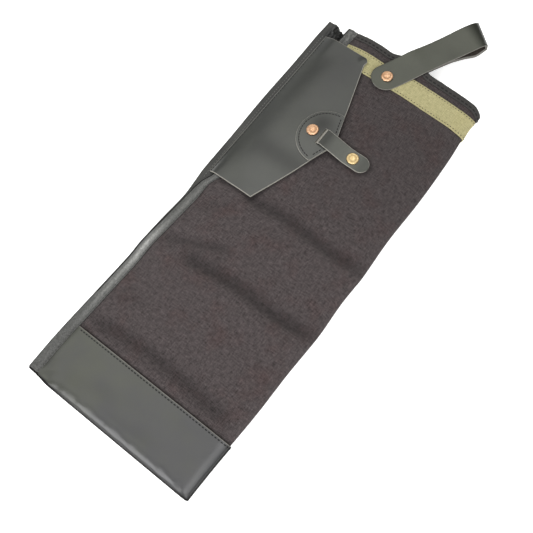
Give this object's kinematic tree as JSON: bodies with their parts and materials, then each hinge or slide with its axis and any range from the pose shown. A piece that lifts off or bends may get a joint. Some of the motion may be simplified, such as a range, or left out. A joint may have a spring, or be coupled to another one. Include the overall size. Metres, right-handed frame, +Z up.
{
  "type": "drumstick bag",
  "caption": "Flat canvas drumstick bag with a leather bottom, bound edges, a side flap shut by a snap tab, and a leather carrying loop at the mouth.",
  "frame": {"origin": "middle of the pouch's flat back, where it lies on the floor", "axes": "+X across the bag to its folded right edge, +Y from the leather bottom to the mouth and carrying loop, +Z up out of the front"},
  "size_m": [0.1867, 0.5299, 0.025],
  "materials": {
    "canvas": "matte heavy woven canvas",
    "leather": "smooth semi-matte",
    "binding_leather": "soft grained",
    "stripe_cotton": "matte woven twill",
    "copper": "polished copper",
    "brass": "polished brass"
  },
  "bodies": {
    "root": {"canvas_body": "canvas", "leather_bottom": "leather", "front_binding": "binding_leather", "back_binding": "binding_leather", "mouth_binding": "binding_leather", "stripe": "stripe_cotton", "flap": "leather", "flap_patch": "leather", "closure_tab": "leather", "handle_strap": "leather", "handle_rivet_front": "copper", "handle_rivet_back": "copper", "flap_rivet": "copper", "tab_snap": "brass"}
  },
  "joints": []
}
